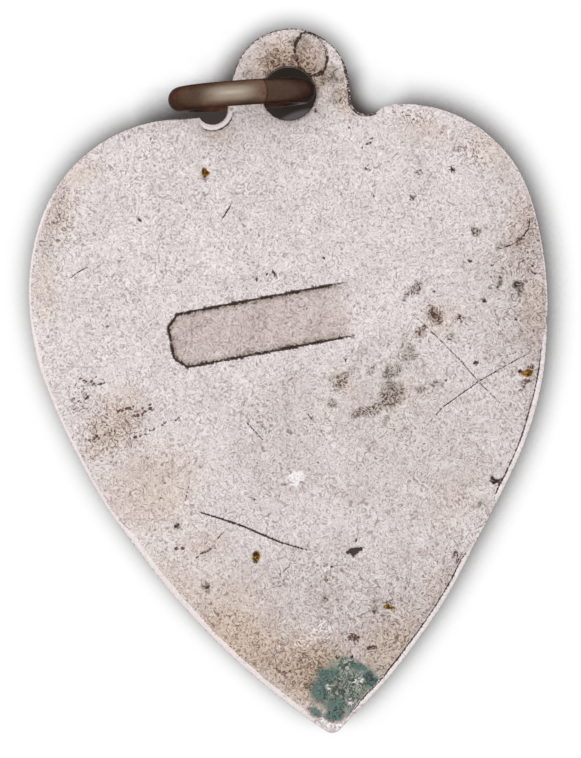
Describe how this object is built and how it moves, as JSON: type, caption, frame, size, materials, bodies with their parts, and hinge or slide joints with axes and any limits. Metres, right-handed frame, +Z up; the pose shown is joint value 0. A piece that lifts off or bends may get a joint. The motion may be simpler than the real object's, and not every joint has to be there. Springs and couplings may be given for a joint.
{
  "type": "heart pendant",
  "caption": "Silver heart pendant with a flat worn back, a domed front with a wire border, and a jump ring that swings in its hanging eye.",
  "frame": {"origin": "centre of the eye's hole, halfway through the back plate", "axes": "+Z up along the pendant towards the eye, +X to the right as seen from the back, +Y out of the front, so the flat back faces -Y"},
  "size_m": [0.0238, 0.0068, 0.0325],
  "materials": {
    "silver_back": "worn silver sheet, scratched and tarnished",
    "silver_front": "worn silver sheet, pressed",
    "silver_border": "silver wire, dark in its grooves",
    "tarnished_wire": "brown tarnished wire"
  },
  "bodies": {
    "heart": {"back_plate": "silver_back", "front_shell": "silver_front", "border_wire": "silver_border"},
    "ring": {"jump_ring": "tarnished_wire"}
  },
  "joints": [
    {"name": "ring_swing", "type": "hinge", "parent": "heart", "child": "ring", "pos_m": [0, 0, 0], "axis": [0, 1, 0], "range_deg": [0, 180]}
  ]
}
